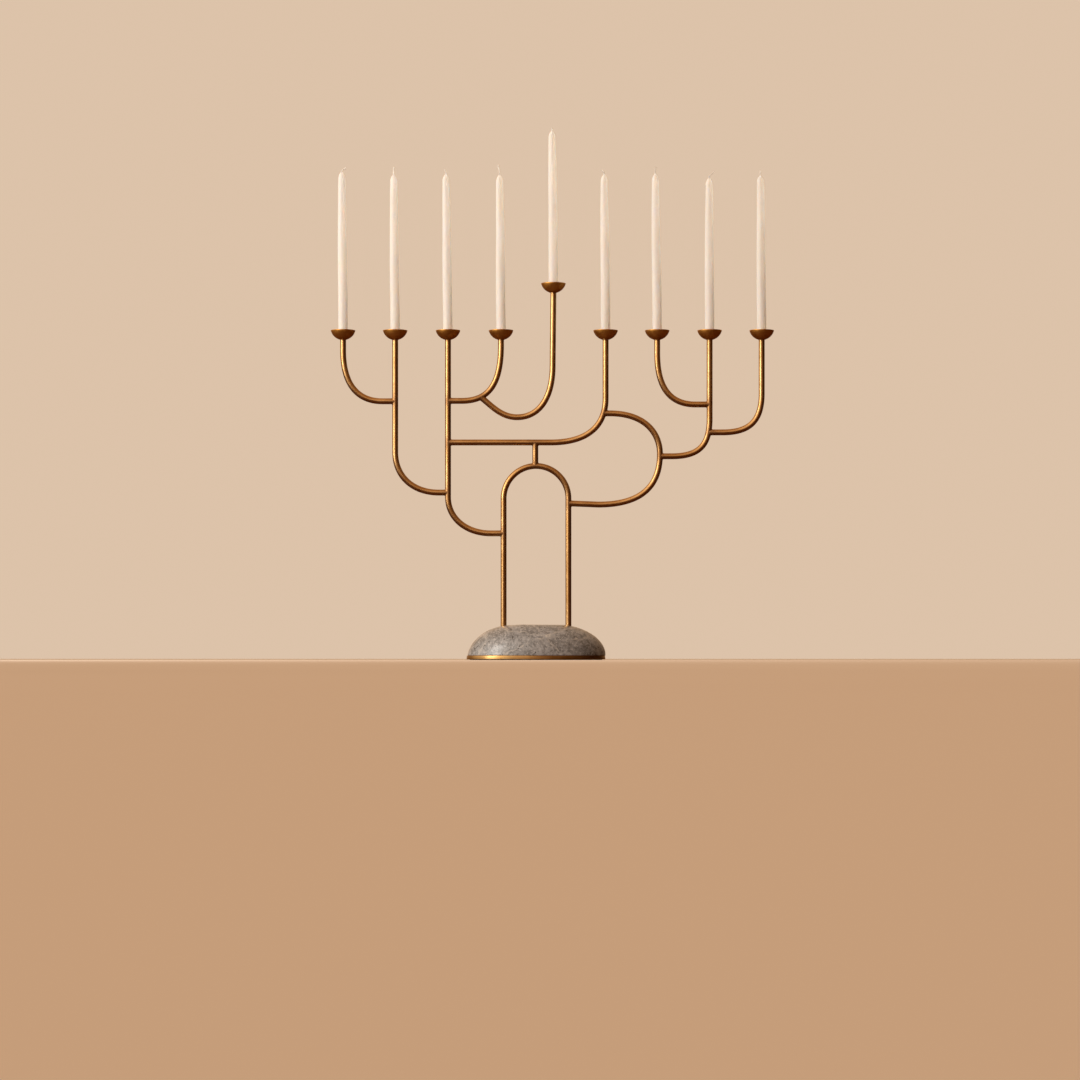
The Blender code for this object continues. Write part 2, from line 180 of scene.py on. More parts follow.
# Base
STONE_SIDES = 384
STONE_TOP_RINGS = 26
STONE_SHOULDER_RINGS = 84
STONE_SIDE_RISE = 17.9 * MM
STONE_SHOULDER_X = 46.0 * MM
STONE_FLAT_X = 23.7 * MM
STONE_FOOT_EDGE = 0.5 * MM
STONE_SEATING = 0.28 * MM
STONE_LEFT_START = 25 * MM
STONE_LEFT_TRIM = 0.015
STONE_LEFT_HOLLOW = 0.02
STONE_UPWARD_START = 0.3
STONE_CALM_FOOT = 12
STONE_SWELL = 0.35 * MM
STONE_SWELL_SIZE = 26 * MM
STONE_LUMP_SIZE = 9 * MM
STONE_LUMP_SHARE = 0.4
STONE_GRAIN = 0.10 * MM
STONE_GRAIN_SIZE = 2.6 * MM
STONE_PIT_DEPTH = 0.45 * MM
STONE_PIT_SIZE = 2.2 * MM
STONE_PIT_START = 0.42
STONE_PIT_RANGE = 0.3
STONE_PITTED_SIZE = 15 * MM
STONE_PITTED_CONTRAST = 3
STONE_PITTED_SHARE = 0.6
LEG_HOLE_CLEARANCE = 0.15 * MM
LEG_HOLE_CHAMFER = 0.4 * MM
DRILL_BELOW = 1.0 * MM
DRILL_ABOVE = 5.0 * MM
PLATE_SIDES = 256
PLATE_EDGE = 0.35 * MM
PLATE_DRAFT = 0.4 * MM
PLATE_SEATING = 0.28 * MM
PLATE_EDGE_RINGS = 9
PLATE_INNER_SHARES = (0.2, 0.6, 0.9)
FELT_FRAY = 0.25 * MM
FELT_FRAY_SIZE = 1.6 * MM
FELT_SHARES = (0.3, 0.7, 0.95, 1.0)

# One bent branch a line: its cup, the bend's height and reach in millimetres, how square
# the bend is, and what its run ends on: another branch's stem, or the arch or the loop.
BENT_BRANCHES = {
    "left_outer_branch": (1, 50.5, 39.3, 0.65, "left_second_branch"),
    "left_second_branch": (2, 40.5, 43.7, 0.60, "left_main_branch"),
    "left_main_branch": (3, 36.3, 43.0, 0.58, "arch"),
    "left_inner_branch": (4, 56.2, 39.5, 0.70, "left_main_branch"),
    "crossbar_branch": (6, 44.0, 55.0, 0.65, "left_main_branch"),
    "right_inner_branch": (7, 51.1, 38.4, 0.67, "right_main_branch"),
    "right_main_branch": (8, 37.4, 38.2, 0.72, "loop_branch"),
    "right_outer_branch": (9, 39.0, 39.0, 0.70, "right_main_branch"),
}

# One candle a line: how many degrees it leans to the left, how far the wick's free end
# stands to the right of the wax tip and above it, and how far its strands part at the end,
# in millimetres.
CANDLES = {
    1: (0.5, 4.2, 5.0, 0.1),
    2: (0.6, 0.5, 8.6, 0.2),
    3: (0.8, -0.7, 5.8, 0.0),
    4: (0.5, -1.6, 11.0, 0.1),
    5: (0.5, -0.3, 3.4, 0.1),
    6: (0.5, -2.4, 5.1, 0.1),
    7: (0.7, 0.1, 7.3, 0.8),
    8: (0.2, 5.2, 7.4, 0.0),
    9: (0.5, 0.2, 5.8, 0.4),
}

# The stone's pale veins are bent sheets through it: each sheet's direction, its distance
# from the origin and its half thickness, in millimetres.
STONE_VEINS = [
    ((0.76, 0.10, 0.64), 18.5, 2.6),
    ((-0.40, 0.10, 0.91), 13.5, 2.4),
    ((0.12, -0.25, 0.96), 32.0, 1.6),
    ((0.85, 0.35, -0.40), -58.0, 3.5),
    ((0.55, 0.80, 0.20), 30.0, 2.0),
]

# How far, and over what distance, the veins and pits are bent, in millimetres
STONE_WARP = 9.0

# Floor and backdrop. The camera sees them pale; light and reflections find them dark.
FLOOR_REACH = 6.0
FLOOR_DROP = 0.1 * MM
FLOOR_CLOUDS = 180.0
FLOOR_COLOURS = (0.84, 0.75, 0.65), (0.87, 0.78, 0.68)
FLOOR_GLOW = (0.11, 0.045, 0.018)
BACKDROP = (0.72, 0.545, 0.40, 1.0)
DARK_ROOM = (0.020, 0.007, 0.003)

# Glows in the surroundings: the way each lies, where it starts and is full, and its colour
SURROUNDINGS = [
    ((-0.10, -0.50, 0.86), 0.25, 0.95, (0.45, 0.24, 0.11)),
    ((-0.15, -0.98, 0.10), 0.88, 1.0, (0.13, 0.05, 0.02)),
    ((-0.75, 0.65, 0.10), 0.20, 1.0, (0.45, 0.29, 0.17)),
    ((0.10, 0.80, 0.60), 0.40, 1.0, (0.38, 0.25, 0.15)),
]

# The bright wall round the key light, and the heights between which it fades in
LIT_WALL = ((-0.76, -0.58, 0.30), 0.48, 0.86, (0.98, 0.88, 0.76))
LIT_WALL_FOOT = (0.01, 0.09)

# Lights: place, width and height, watts and colour
KEY_LIGHT = ((-1.30, -1.00, 0.70), (0.60, 1.10), 15.0, (1.0, 0.95, 0.88))
FILL_LIGHT = ((2.45, -0.70, 0.52), (0.60, 0.20), 0.42, (1.0, 0.86, 0.70))
FILL_SPREAD = math.radians(12)

# Camera
CAMERA_PLACE = (0.004, -3.0, 0.0015)
CAMERA_LENS = 100.0
CAMERA_SENSOR = 36.0
CAMERA_SHIFT = 0.1096


# Meshes


def closed_skin(name, rings, material, ring_values=None, hollow=False):
    """A piece from rings of points. Its ends are closed, or joined if it is hollow."""
    rings = np.asarray(rings)
    ring_count, sides, _ = rings.shape
    index = np.arange(ring_count * sides).reshape(ring_count, sides)
    beyond = np.roll(index, -1, axis=0) if hollow else index[1:]
    these = index if hollow else index[:-1]
    quads = np.stack([these, np.roll(these, -1, 1), np.roll(beyond, -1, 1), beyond], axis=-1)
    faces = quads.reshape(-1, 4).tolist()
    points = rings.reshape(-1, 3)
    values = ring_values or {}
    values = {key: np.reshape(value, (len(points), -1)) for key, value in values.items()}
    if not hollow:
        for ring, turn in ((index[0], 1), (index[-1], -1)):
            centre = len(points)
            points = np.vstack([points, points[ring].mean(axis=0)])
            faces += [(centre, a, b) for a, b in zip(np.roll(ring, -turn).tolist(), ring.tolist())]
            for key, value in values.items():
                values[key] = np.vstack([value, value[ring].mean(axis=0)])
    mesh = bpy.data.meshes.new(name)
    mesh.from_pydata(points.tolist(), [], faces)
    for key, value in values.items():
        kind = "FLOAT_VECTOR" if value.shape[1] == 3 else "FLOAT"
        attribute = mesh.attributes.new(key, kind, "POINT")
        attribute.data.foreach_set("vector" if kind == "FLOAT_VECTOR" else "value", value.ravel())
    return finish_mesh(name, mesh, material)


def finish_mesh(name, mesh, material):
    """A new object with its faces turned outwards and its round parts smooth."""
    work = bmesh.new()
    work.from_mesh(mesh)
    bmesh.ops.recalc_face_normals(work, faces=work.faces)
    work.to_mesh(mesh)
    work.free()
    mesh.shade_smooth()
    mesh.set_sharp_from_angle(angle=SHARP_EDGE)
    mesh.materials.append(material)
    piece = bpy.data.objects.new(name, mesh)
    bpy.context.scene.collection.objects.link(piece)
    return piece


def baked(piece):
    """The piece with its modifiers made part of its mesh."""
    graph = bpy.context.evaluated_depsgraph_get()
    mesh = bpy.data.meshes.new_from_object(piece.evaluated_get(graph))
    piece.modifiers.clear()
    piece.data = mesh
    return piece


def turned(profile, sides):
    """Rings of a profile of (radius, height) turned about Z."""
    angle = np.arange(sides) * 2 * math.pi / sides
    radius, height = np.array(profile).T
    rings = np.zeros((len(profile), sides, 3))
    rings[..., 0] = radius[:, None] * np.cos(angle)
    rings[..., 1] = radius[:, None] * np.sin(angle)
    rings[..., 2] = height[:, None]
    return rings


def quarter_round(radius, height, size, start_degrees, points=5):
    """Points of a rounded edge about a centre, a quarter turn anticlockwise."""
    angles = np.radians(np.linspace(start_degrees, start_degrees + 90, points))
    return [(radius + size * math.cos(a), height + size * math.sin(a)) for a in angles]


def bumps(points, wavelength, seed):
    """Smooth noise from -1 to 1 at points, with hills about a wavelength apart."""
    shift = Vector([seed * step for step in SEED_SHIFT])
    flat = np.reshape(points, (-1, 3)) / wavelength
    values = [noise.noise(Vector(point) + shift) for point in flat.tolist()]
    return np.reshape(values, np.shape(points)[:-1])


def stand_in(piece, node, body):
    """The piece takes a node's place in the frame."""
    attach(piece, body)
    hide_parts(node)
    return piece


# Materials


class Nodes:
    """A node tree, with a short call for each kind of node."""

    def __init__(self, tree):
        self.tree = tree

    def connect(self, node, sockets):
        for key, value in sockets.items():
            if isinstance(value, bpy.types.NodeSocket):
                self.tree.links.new(value, node.inputs[key])
            else:
                node.inputs[key].default_value = value

    def add(self, kind, sockets, **settings):
        node = self.tree.nodes.new(kind)
        for key, value in settings.items():
            setattr(node, key, value)
        self.connect(node, sockets)
        return node

    def vector_math(self, operation, first, second):
        node = self.add("ShaderNodeVectorMath", {0: first, 1: second}, operation=operation)
        return node.outputs["Value" if operation == "DOT_PRODUCT" else "Vector"]

    def math(self, operation, *values):
        sockets = dict(enumerate(values))
        return self.add("ShaderNodeMath", sockets, operation=operation).outputs[0]

    def remap(self, value, low, high, new_low=0.0, new_high=1.0):
        """Eased change of a value from one range to another, held at both ends."""
        sockets = {"Value": value, 1: low, 2: high, 3: new_low, 4: new_high}
        node = self.add("ShaderNodeMapRange", sockets, interpolation_type="SMOOTHSTEP")
        return node.outputs["Result"]

    def blend(self, share, first, second, mode="MIX"):
        """A colour between two colours."""
        pair = [(*c, 1.0) if isinstance(c, tuple) else c for c in (first, second)]
        sockets = {0: share, 6: pair[0], 7: pair[1]}
        node = self.add("ShaderNodeMix", sockets, data_type="RGBA", blend_type=mode)
        return node.outputs[2]


class Finish(Nodes):
    """A material. Sizes and places in it are in millimetres."""

    def __init__(self, name, sockets):
        self.material = bpy.data.materials.new(name)
        self.material.use_nodes = True
        super().__init__(self.material.node_tree)
        self.shader = self.tree.nodes["Principled BSDF"]
        self.connect(self.shader, sockets)
        where = self.add("ShaderNodeTexCoord", {}).outputs["Object"]
        self.place = self.stretched(where, (1 / MM, 1 / MM, 1 / MM))

    def stretched(self, vector, scale):
        return self.vector_math("MULTIPLY", vector, scale)

    def noise(self, size, detail=3.0, roughness=0.55, distortion=0.0, vector=None):
        """Noise from 0 to 1 with spots of about that many millimetres."""
        sockets = {
            "Vector": vector or self.place,
            "Scale": 1 / size,
            "Detail": detail,
            "Roughness": roughness,
            "Distortion": distortion,
        }
        return self.add("ShaderNodeTexNoise", sockets).outputs[0]

    def cells(self, size, vector):
        """Distance from the nearest of many scattered points, in cells."""
        sockets = {"Vector": vector, "Scale": 1 / size}
        return self.add("ShaderNodeTexVoronoi", sockets).outputs["Distance"]

    def attribute(self, name, output="Fac"):
        return self.add("ShaderNodeAttribute", {}, attribute_name=name).outputs[output]

    def relief(self, height, depth_mm, below=None):
        """A surface normal from heights of 0 to 1 that stand for a depth."""
        sockets = {"Height": height, "Distance": depth_mm * MM, "Strength": 1.0}
        if below is not None:
            sockets["Normal"] = below
        return self.add("ShaderNodeBump", sockets).outputs[0]

    def paint(self, **sockets):
        self.connect(self.shader, {key.replace("_", " "): value for key, value in sockets.items()})
        return self.material


def drawn_brass():
    """Aged brass rod: warm, with fine drawing lines, a thin brown patina and stained joints."""
    finish = Finish("drawn_brass", {"Metallic": 1.0})
    grain = finish.stretched(finish.attribute("grain", "Vector"), (1 / MM, 1 / MM, 1 / MM))
    lines = finish.noise(2.0, 1.0, vector=finish.stretched(grain, (1.0, 1.0, 0.03)))
    cloud = finish.noise(24.0, 3.0, 0.55)
    mottle = finish.noise(5.0, 2.0, 0.5)
    stain = finish.attribute("joint")
    colour = finish.blend(finish.remap(cloud, 0.35, 0.68), (0.62, 0.385, 0.165), (0.50, 0.285, 0.105))
    colour = finish.blend(finish.remap(mottle, 0.50, 0.75, 0.0, 0.35), colour, (0.36, 0.18, 0.065))
    colour = finish.blend(finish.math("MULTIPLY", stain, 0.5), colour, (0.24, 0.11, 0.05))
    shine = finish.remap(mottle, 0.3, 0.75, 0.285, 0.35)
    shine = finish.math("ADD", shine, finish.math("MULTIPLY", stain, 0.10))
    normal = finish.relief(lines, 0.002)
    return finish.paint(Base_Color=colour, Roughness=shine, Normal=normal)


def patinated_bronze():
    """Dark bronze bowls: brown patina over spun metal, worn lighter in places."""
    finish = Finish("patinated_bronze", {"Metallic": 1.0})
    rings = finish.noise(0.5, 2.0, vector=finish.stretched(finish.place, (0.06, 0.06, 1.6)))
    cloud = finish.noise(7.0, 4.0, 0.6)
    spots = finish.noise(1.1, 3.0, 0.6)
    colour = finish.blend(finish.remap(cloud, 0.35, 0.7), (0.76, 0.39, 0.09), (0.58, 0.27, 0.05))
    colour = finish.blend(finish.remap(spots, 0.52, 0.72, 0.0, 0.4), colour, (0.82, 0.48, 0.16))
    shine = finish.remap(spots, 0.3, 0.7, 0.40, 0.52)
    normal = finish.relief(rings, 0.01)
    normal = finish.relief(cloud, 0.08, normal)
    return finish.paint(Base_Color=colour, Roughness=shine, Normal=normal)


def turned_brass():
    """The sleeves: plain turned brass, browned inside the bowls."""
    finish = Finish("turned_brass", {"Metallic": 1.0})
    rings = finish.noise(0.4, 2.0, vector=finish.stretched(finish.place, (0.05, 0.05, 1.0)))
    cloud = finish.noise(4.0, 4.0)
    colour = finish.blend(finish.remap(cloud, 0.35, 0.7), (0.42, 0.22, 0.08), (0.27, 0.125, 0.04))
    shine = finish.remap(rings, 0.3, 0.7, 0.30, 0.42)
    return finish.paint(Base_Color=colour, Roughness=shine, Normal=finish.relief(rings, 0.02))


def polished_brass():
    """The base plate: smooth brass with faint scuffs and a few dull spots."""
    finish = Finish("polished_brass", {"Metallic": 1.0})
    scuffs = finish.noise(0.8, 3.0, vector=finish.stretched(finish.place, (0.12, 0.12, 2.0)))
    cloud = finish.noise(14.0, 4.0, 0.6)
    colour = finish.blend(finish.remap(cloud, 0.35, 0.7), (0.56, 0.35, 0.14), (0.42, 0.24, 0.08))
    shine = finish.remap(scuffs, 0.3, 0.75, 0.28, 0.34)
    return finish.paint(Base_Color=colour, Roughness=shine, Normal=finish.relief(scuffs, 0.006))


def grey_stone():
    """Honed grey stone: cloudy, with pale veins and flecks and small dark pits."""
    finish = Finish("grey_stone", {"Coat Weight": 1.0, "Coat Roughness": 0.25, "IOR": 1.5})
    sockets = {"Vector": finish.place, "Scale": 1 / STONE_WARP, "Detail": 3.0}
    warp = finish.add("ShaderNodeTexNoise", sockets).outputs["Color"]
    warp = finish.vector_math("SUBTRACT", warp, (0.5, 0.5, 0.5))
    warp = finish.stretched(warp, (STONE_WARP, STONE_WARP, STONE_WARP))
    twisted = finish.vector_math("ADD", warp, finish.place)
    cloud = finish.noise(14.0, 5.0, 0.62, 0.3)
    mottle = finish.noise(5.0, 8.0, 0.78)
    flecks = finish.noise(2.4, 6.0, 0.8)
    colour = finish.blend(finish.remap(cloud, 0.32, 0.68), (0.190, 0.200, 0.210), (0.365, 0.378, 0.395))
    colour = finish.blend(finish.remap(mottle, 0.46, 0.57, 0.0, 0.66), colour, (0.095, 0.097, 0.098))
    colour = finish.blend(finish.remap(flecks, 0.51, 0.60, 0.0, 0.60), colour, (0.60, 0.61, 0.61))
    for direction, offset, width in STONE_VEINS:
        level = finish.vector_math("DOT_PRODUCT", twisted, direction)
        off_sheet = finish.math("ABSOLUTE", finish.math("SUBTRACT", level, offset))
        vein = finish.remap(off_sheet, 0.05 * width, 0.5 * width, 0.6, 0.0)
        vein = finish.math("MULTIPLY", vein, finish.remap(mottle, 0.42, 0.56))
        colour = finish.blend(vein, colour, (0.60, 0.585, 0.55))
    pits = finish.remap(finish.cells(4.4, twisted), 0.15, 0.24, 1.0, 0.0)
    pits = finish.math("MULTIPLY", pits, finish.remap(finish.noise(9.0), 0.50, 0.54))
    colour = finish.blend(finish.math("MULTIPLY", pits, 0.95), colour, (0.03, 0.026, 0.022))
    shine = finish.remap(mottle, 0.3, 0.7, 0.34, 0.52)
    normal = finish.relief(flecks, 0.05)
    normal = finish.relief(mottle, 0.12, normal)
    normal = finish.relief(finish.math("SUBTRACT", 1.0, pits), 0.25, normal)
    return finish.paint(Base_Color=colour, Roughness=shine, Normal=normal)


def ivory_wax():
    """Dipped ivory wax, with faint ripples and cloudy depth."""
    sockets = {
        "Subsurface Weight": 1.0,
        "Subsurface Radius": (1.0, 0.9, 0.8),
        "Subsurface Scale": 5.0 * MM,
        "IOR": 1.44,
        "Specular IOR Level": 0.42,
    }
    finish = Finish("ivory_wax", sockets)
    cloud = finish.noise(6.0, 4.0, vector=finish.stretched(finish.place, (1.0, 1.0, 0.25)))
    ripple = finish.noise(2.6, 3.0, vector=finish.stretched(finish.place, (1.0, 1.0, 0.45)))
    colour = finish.blend(finish.remap(cloud, 0.3, 0.7), (0.93, 0.935, 0.90), (0.91, 0.91, 0.865))
    shine = finish.remap(ripple, 0.3, 0.7, 0.40, 0.52)
    normal = finish.relief(ripple, 0.05)
    return finish.paint(Base_Color=colour, Roughness=shine, Normal=normal)


def waxed_cotton():
    """Wicks: off-white cotton strands soaked with wax, greyer in patches."""
    finish = Finish("waxed_cotton", {"Specular IOR Level": 0.3})
    fibres = finish.noise(0.16, 3.0, 0.7, vector=finish.stretched(finish.place, (1.0, 1.0, 0.3)))
    cloud = finish.noise(1.2, 2.0)
    colour = finish.blend(finish.remap(fibres, 0.3, 0.7), (0.93, 0.91, 0.86), (0.88, 0.84, 0.77))
    colour = finish.blend(finish.remap(cloud, 0.5, 0.75, 0.0, 0.4), colour, (0.74, 0.66, 0.56))
    rough = finish.remap(cloud, 0.3, 0.7, 0.6, 0.85)
    return finish.paint(Base_Color=colour, Roughness=rough, Normal=finish.relief(fibres, 0.05))


def brown_felt():
    """Pressed wool felt under the plate."""
    finish = Finish("brown_felt", {"Sheen Weight": 0.5, "Sheen Roughness": 0.5})
    wool = finish.noise(0.35, 4.0, 0.7, 1.5)
    cloud = finish.noise(5.0, 3.0)
    colour = finish.blend(finish.remap(wool, 0.3, 0.7), (0.085, 0.055, 0.036), (0.045, 0.028, 0.018))
    colour = finish.blend(finish.remap(cloud, 0.4, 0.7, 0.0, 0.4), colour, (0.11, 0.078, 0.055))
    rough = finish.remap(wool, 0.3, 0.7, 0.85, 0.98)
    return finish.paint(Base_Color=colour, Roughness=rough, Normal=finish.relief(wool, 0.15))


def zinc_steel():
    """The base screws."""
    finish = Finish("zinc_steel", {"Metallic": 1.0})
    cloud = finish.noise(0.9, 3.0)
    colour = finish.blend(finish.remap(cloud, 0.35, 0.7), (0.52, 0.52, 0.53), (0.40, 0.39, 0.37))
    shine = finish.remap(cloud, 0.3, 0.7, 0.28, 0.42)
    return finish.paint(Base_Color=colour, Roughness=shine, Normal=finish.relief(cloud, 0.01))


# Rod routes


class Route:
    """A rod's centre line in the branches' plane, read by distance along it."""

    def __init__(self, *stretches):
        self.points = np.concatenate([np.atleast_2d(stretch) for stretch in stretches])
        steps = np.linalg.norm(np.diff(self.points, axis=0), axis=1)
        self.marks = np.concatenate([[0.0], np.cumsum(steps)])
        self.length = self.marks[-1]
        ahead = np.gradient(self.points, self.marks, axis=0)
        self.ahead = ahead / np.linalg.norm(ahead, axis=1, keepdims=True)

    def skin(self, distance, radius):
        """Points of the rod's surface, one for each side, at distances along it."""
        distance, radius = np.broadcast_arrays(distance, radius)
        ahead = [np.interp(distance, self.marks, self.ahead[:, axis]) for axis in (0, 1)]
        past_end = distance - np.clip(distance, 0.0, self.length)
        x, z = [
            np.interp(distance, self.marks, self.points[:, axis]) + past_end * ahead[axis]
            for axis in (0, 1)
        ]
        across = radius * np.cos(ANGLES)
        depth = radius * np.sin(ANGLES)
        return np.stack([x - across * ahead[1], depth, z + across * ahead[0]], axis=-1)

    def nearest(self, points):
        """The nearest points of the centre line to points on or near the rod."""
        flat = points[:, None, [0, 2]]
        spans = np.diff(self.points, axis=0)
        share = ((flat - self.points[:-1]) * spans).sum(axis=-1) / (spans**2).sum(axis=-1)
        near = self.points[:-1] + np.clip(share, 0, 1)[..., None] * spans
        best = np.linalg.norm(flat - near, axis=-1).argmin(axis=1)
        chosen = near[np.arange(len(points)), best]
        return np.stack([chosen[:, 0], np.zeros(len(points)), chosen[:, 1]], axis=-1)

    def gap(self, points):
        """How far points are from the centre line."""
        return np.linalg.norm(points - self.nearest(points), axis=-1)

    def onto(self, points, radius):
        """Points moved straight towards or away from the centre line to a radius."""
        centre = self.nearest(points)
        spoke = points - centre
        return centre + spoke * radius / np.linalg.norm(spoke, axis=-1, keepdims=True)


def bend(start, start_pull, end, end_pull):
    """Points of a smooth bend. Each pull says which way, and how hard, the bend leaves its end."""
    share = np.linspace(0, 1, BEND_POINTS)[:, None]
    near, far = np.array(start), np.array(end)
    near_handle, far_handle = near + start_pull, far + end_pull
    rest = 1 - share
    middle = 3 * share * rest * (rest * near_handle + share * far_handle)
    return rest**3 * near + middle + share**3 * far


def unit(vector):
    vector = np.array(vector)
    return vector / np.linalg.norm(vector)


def cup_place(number):
    """Where the axis of a cup crosses the underside of its seat, as (x, z)."""
    low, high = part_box(f"cup_{number}")
    return (low.x + high.x) / 2, low.z


def host_x(name):
    """The x of the upright rod that a branch's run ends on."""
    low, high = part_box(name)
    if name == "arch":
        return low.x + ROD_RADIUS
    if name == "loop_branch":
        return high.x - ROD_RADIUS
    return cup_place(BENT_BRANCHES[name][0])[0]


def bent_route(name):
    """Down the stem from its cup, round the bend and along the run to the next rod."""
    cup, drop_mm, reach_mm, squareness, host = BENT_BRANCHES[name]
    stem_x, seat_z = cup_place(cup)
    run_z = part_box(name)[0].z + ROD_RADIUS
    end_x = host_x(host)
    drop, reach = drop_mm * MM, math.copysign(reach_mm * MM, end_x - stem_x)
    turn = bend(
        (stem_x, run_z + drop),
        (0.0, -drop * squareness),
        (stem_x + reach, run_z),
        (-reach * squareness, 0.0),
    )
    return Route((stem_x, seat_z), turn, (end_x, run_z))


def shamash_route():
    """Down from the raised cup, round a hook and up to the left inner branch."""
    top = np.array(cup_place(SHAMASH_CUP))
    lowest = (SHAMASH_LOWEST_X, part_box("shamash_branch")[0].z + ROD_RADIUS)
    stem_pull = unit(SHAMASH_STEM_FOOT - top) * SHAMASH_STEM_PULL
    join_pull = unit(np.array(SHAMASH_JOIN) - SHAMASH_RISE_END) * SHAMASH_JOIN_PULL
    fall = bend(SHAMASH_STEM_FOOT, stem_pull, lowest, SHAMASH_FALL_PULL)
    rise = bend(lowest, SHAMASH_RISE_PULL, SHAMASH_RISE_END, -join_pull)
    return Route(top, fall, rise[1:], SHAMASH_JOIN)


def loop_route():
    """From the arch's right leg out, up round the outside and back to the crossbar branch."""
    start_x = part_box("arch")[1].x - ROD_RADIUS
    widest = (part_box("loop_branch")[1].x - ROD_RADIUS, LOOP_WIDEST_Z)
    out = bend(LOOP_RUN_END, LOOP_RUN_PULL, widest, LOOP_DOWN_PULL)
    back = bend(widest, LOOP_UP_PULL, LOOP_RETURN_END, LOOP_RETURN_PULL)
    return Route((start_x, LOOP_START_Z), out, back[1:], LOOP_JOIN)


def arch_route():
    """Up the left leg, over a half circle and down the right leg."""
    low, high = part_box("arch")
    radius = (high.x - low.x) / 2 - ROD_RADIUS
    spring_z = high.z - ROD_RADIUS - radius
    centre_x = (low.x + high.x) / 2
    angles = np.linspace(math.pi, 0.0, ARCH_POINTS)
    over = np.stack([centre_x + radius * np.cos(angles), spring_z + radius * np.sin(angles)], axis=1)
    return Route((over[0][0], low.z), over, (over[-1][0], low.z))


def strut_route():
    """Straight up from the top of the arch to the crossbar branch."""
    low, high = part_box("strut")
    x = (low.x + high.x) / 2
    top_of_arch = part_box("arch")[1].z - ROD_RADIUS
    crossbar_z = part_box("crossbar_branch")[0].z + ROD_RADIUS
    return Route((x, top_of_arch), (x, crossbar_z))


# Rods


def join_end(route, host, at_start):
    """Where a rod ends on another: how far its own round surface stops short of its end on
    each side, and the rings of the braze fillet from there onto the other rod."""

    def skin(short, radius=ROD_RADIUS):
        return route.skin(short if at_start else route.length - short, radius)

    inside, outside = np.zeros(ROD_SIDES), np.full(ROD_SIDES, JOINT_SEARCH)
    for _ in range(BISECTIONS):
        middle = (inside + outside) / 2
        within = host.gap(skin(middle)) < ROD_RADIUS
        inside = np.where(within, middle, inside)
        outside = np.where(within, outside, middle)
    touch = skin(outside)
    size = FILLET * (FILLET_LEAST_SHARE + (1 - FILLET_LEAST_SHARE) * np.abs(np.cos(ANGLES)))
    outward = (skin(outside, 2 * ROD_RADIUS) - touch) / ROD_RADIUS
    foot = host.onto(touch + outward * size[:, None], ROD_RADIUS - JOINT_SINK)
    edge = skin(outside + size)
    rings = []
    for share in np.linspace(0, 1, FILLET_RINGS + 1)[1:]:
        rest = 1 - share
        rings.append(rest**2 * edge + 2 * share * rest * touch + share**2 * foot)
    return outside + size, rings


def cup_end(route):
    """A rod's top: a small flare of solder under the bowl, then the spigot that goes through."""
    flare = []
    for angle in np.linspace(math.pi / 2, 0, SOLDER_RINGS + 1)[1:]:
        radius = ROD_RADIUS + SOLDER * (1 - math.sin(angle))
        flare.append((radius, SOLDER * (1 - math.cos(angle))))
    spigot = [
        (ROD_RADIUS + SOLDER, -SPIGOT_ROOT),
        (SPIGOT_RADIUS, -SPIGOT_ROOT),
        (SPIGOT_RADIUS, SPIGOT_CHAMFER - SPIGOT_HEIGHT),
        (SPIGOT_RADIUS - SPIGOT_CHAMFER, -SPIGOT_HEIGHT),
    ]
    rings = [route.skin(np.full(ROD_SIDES, below), radius) for radius, below in [*flare, *spigot]]
    return np.full(ROD_SIDES, SOLDER), rings


def cut_end():
    """A plain sawn end."""
    return np.zeros(ROD_SIDES), []


def rod_piece(name, route, start, finish, joints, seed):
    """A whole rod. Its surface also carries its drawing direction and where its joints are."""
    first, before = start
    last, after = finish
    ring_count = round(route.length / ROD_RING_SPACING)
    share = np.linspace(0, 1, ring_count + 1)[:, None]
    distance = first + share * (route.length - last - first)
    plain = route.skin(distance, ROD_RADIUS)
    wave = bumps(plain, ROD_WAVE_LENGTH, seed) * np.sin(share * math.pi) ** 0.5
    body = route.skin(distance, ROD_RADIUS + ROD_WAVINESS * (wave - 0.5))
    rings = np.array([*before[::-1], *body, *after])
    along = np.concatenate(
        [np.tile(distance[0], (len(before), 1)), distance, np.tile(distance[-1], (len(after), 1))]
    )
    across = np.broadcast_to(ANGLES, along.shape)
    grain = np.stack([ROD_RADIUS * np.cos(across), ROD_RADIUS * np.sin(across), along], axis=-1)
    flat = rings[..., None, [0, 2]] - np.array(joints)
    off_joint = np.linalg.norm(flat, axis=-1).min(axis=-1) - ROD_RADIUS
    stain = np.exp(-np.clip(off_joint, 0, None) / JOINT_STAIN)
    values = {"grain": grain, "joint": stain}
    return closed_skin(f"{name}_rod", rings, brass, values)


